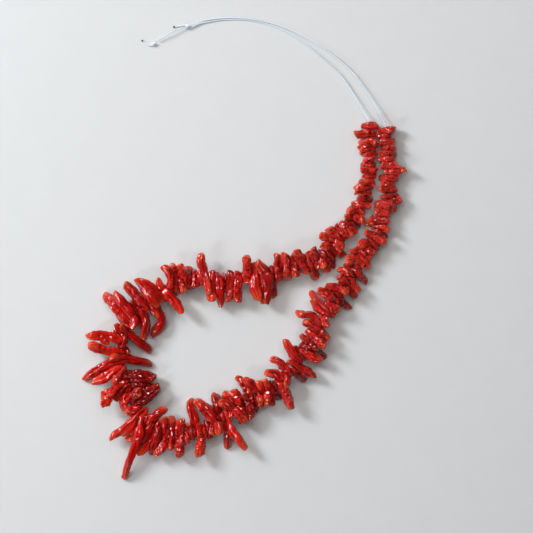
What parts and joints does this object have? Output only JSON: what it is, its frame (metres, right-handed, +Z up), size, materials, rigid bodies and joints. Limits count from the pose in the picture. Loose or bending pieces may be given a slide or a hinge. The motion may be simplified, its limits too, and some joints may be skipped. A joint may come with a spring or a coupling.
{
  "type": "red coral branch bead strand",
  "caption": "Strand of red coral branch pieces, drilled across and threaded on a clear nylon line whose two free ends are knotted.",
  "frame": {"origin": "on the surface that the strand lies on, below the middle of the coral pieces' outline", "axes": "+Z up from that surface; +Y towards the free ends of the line; +X to the right when seen from above"},
  "size_m": [0.147, 0.211, 0.0097],
  "materials": {
    "coral": "polished red coral, glossy, deep red with paler orange-red tips and fine lengthwise grain",
    "nylon": "clear pale blue nylon monofilament, smooth"
  },
  "bodies": {
    "root": {"coral_branch_032": "coral", "coral_branch_033": "coral", "coral_branch_034": "coral", "coral_branch_039": "coral", "coral_branch_040": "coral", "coral_branch_041": "coral", "coral_branch_049": "coral", "coral_branch_050": "coral", "coral_branch_051": "coral", "coral_branch_052": "coral", "coral_branch_053": "coral", "coral_branch_054": "coral", "coral_branch_055": "coral", "coral_branch_056": "coral", "coral_branch_057": "coral", "coral_branch_058": "coral", "coral_branch_059": "coral", "coral_branch_060": "coral", "coral_branch_061": "coral", "coral_branch_062": "coral", "coral_branch_063": "coral", "coral_branch_064": "coral", "coral_branch_065": "coral", "coral_branch_075": "coral", "coral_branch_076": "coral", "coral_branch_077": "coral", "coral_branch_078": "coral", "coral_branch_079": "coral", "coral_branch_080": "coral", "coral_branch_081": "coral", "coral_branch_089": "coral", "coral_branch_094": "coral", "coral_branch_095": "coral", "coral_branch_096": "coral", "coral_branch_097": "coral", "coral_branch_105": "coral", "coral_branch_115": "coral", "coral_branch_116": "coral", "coral_branch_126": "coral", "coral_chips_001_to_009": "coral", "coral_chips_010_to_017": "coral", "coral_chips_018_to_025": "coral", "coral_chips_026_to_031": "coral", "coral_chips_035_to_038": "coral", "coral_chips_042_to_048": "coral", "coral_chips_066_to_074": "coral", "coral_chips_082_to_088": "coral", "coral_chips_090_to_093": "coral", "coral_chips_098_to_104": "coral", "coral_chips_106_to_114": "coral", "coral_chips_117_to_125": "coral", "coral_chips_127_to_135": "coral", "coral_chips_136_to_144": "coral", "coral_chips_145_to_153": "coral", "coral_chips_154_to_160": "coral", "line_threaded": "nylon", "line_end_a": "nylon", "line_end_b": "nylon", "knot_a": "nylon", "knot_b": "nylon"}
  },
  "joints": []
}
